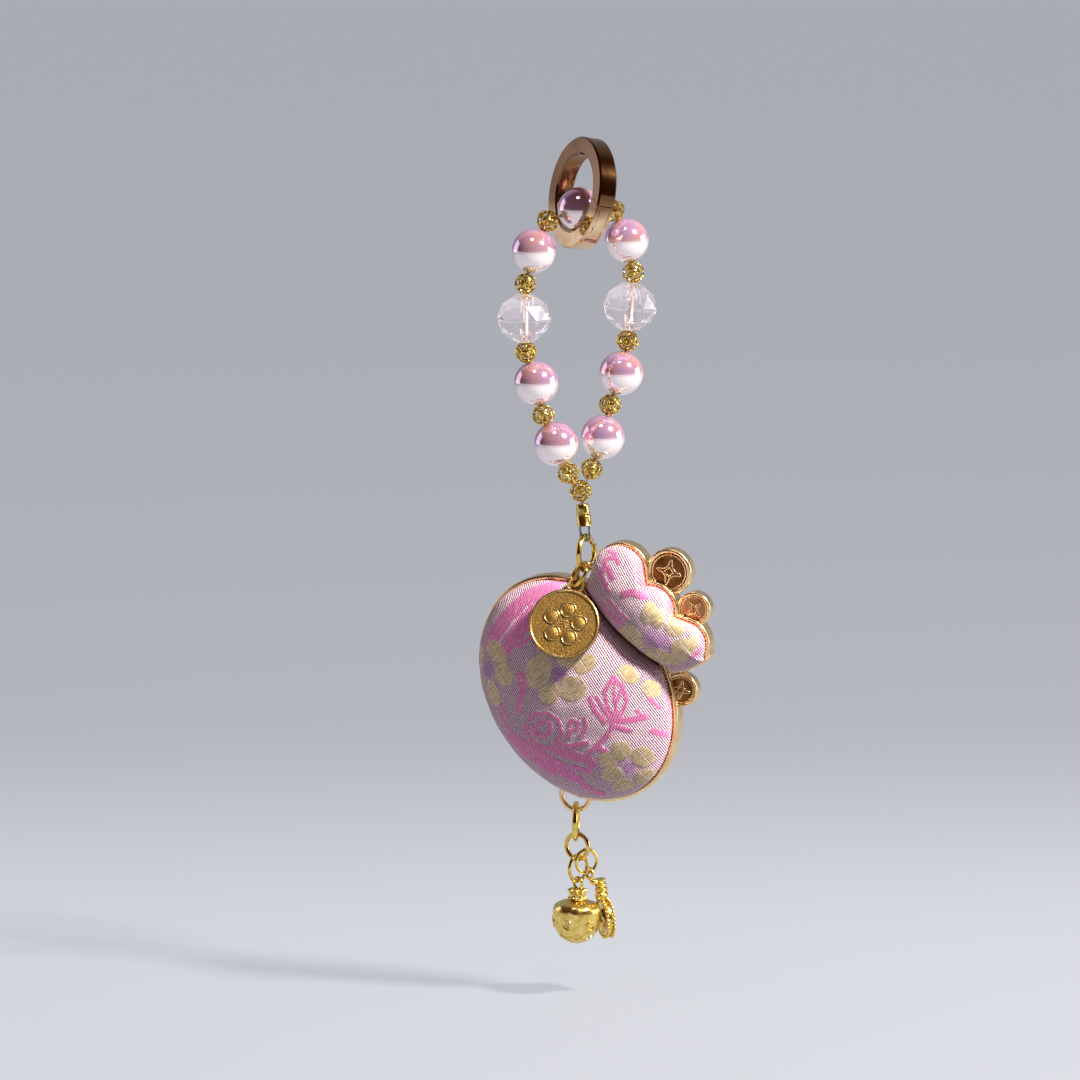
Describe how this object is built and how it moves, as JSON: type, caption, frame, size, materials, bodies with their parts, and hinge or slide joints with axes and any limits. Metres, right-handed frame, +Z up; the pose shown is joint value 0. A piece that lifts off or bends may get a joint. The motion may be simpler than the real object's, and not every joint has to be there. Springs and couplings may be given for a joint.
{
  "type": "pouch charm strap",
  "caption": "Beaded charm strap hanging from a spring gate ring, with a padded brocade money bag in a cast gold frame, a round tag and two small drops.",
  "frame": {"origin": "inner top of the gate ring, where the strap hangs", "axes": "+Z up, along the hanging strap; the bag's padded face looks towards -Y; +X is to the right of someone who looks at that face"},
  "size_m": [0.0551, 0.0319, 0.1834],
  "materials": {
    "rose_gold": "polished",
    "pin_steel": "polished",
    "bright_gold": "polished",
    "cast_gold": "polished",
    "antique_gold": "sandblasted face, polished rim",
    "grey_wire": "satin",
    "pearl": "pearl lustre",
    "crystal": "faceted, clear",
    "thread": "twisted cord",
    "brocade": "woven satin brocade over padding"
  },
  "bodies": {
    "strap": {"ring_body": "rose_gold", "hinge_pin": "pin_steel", "bead_thread": "thread", "pearl_top": "pearl", "ball_left_1": "bright_gold", "pearl_left_1": "pearl", "ball_left_2": "bright_gold", "crystal_left": "crystal", "ball_left_3": "bright_gold", "pearl_left_2": "pearl", "ball_left_4": "bright_gold", "pearl_left_3": "pearl", "ball_left_5": "bright_gold", "ball_right_1": "bright_gold", "pearl_right_1": "pearl", "ball_right_2": "bright_gold", "crystal_right": "crystal", "ball_right_3": "bright_gold", "pearl_right_2": "pearl", "ball_right_4": "bright_gold", "pearl_right_3": "pearl", "ball_right_5": "bright_gold", "ball_low": "bright_gold", "crimp_upper": "bright_gold", "crimp_lower": "bright_gold", "wire_loop": "grey_wire", "link_upper": "bright_gold", "tag_ring": "bright_gold", "tag": "antique_gold"},
    "gate": {"ring_gate": "rose_gold"},
    "pouch": {"pouch_frame": "cast_gold", "body_pad": "brocade", "mouth_pad": "brocade", "link_lower_1": "bright_gold", "link_lower_2": "bright_gold", "link_lower_3": "bright_gold", "link_lower_4": "bright_gold", "bag_drop": "bright_gold", "drum_drop": "bright_gold"}
  },
  "joints": [
    {"name": "gate_hinge", "type": "hinge", "parent": "strap", "child": "gate", "pos_m": [0.00399, -0.00761, -0.01531], "axis": [-0.6841, -0.7084, 0.1736], "range_deg": [0, 25], "stiffness_Nm_per_rad": 0.002, "springref_deg": -5.73},
    {"name": "pouch_swing", "type": "hinge", "parent": "strap", "child": "pouch", "pos_m": [-0.00002, -0.00134, -0.09216], "axis": [1, 0, 0], "range_deg": [0, 30]}
  ]
}
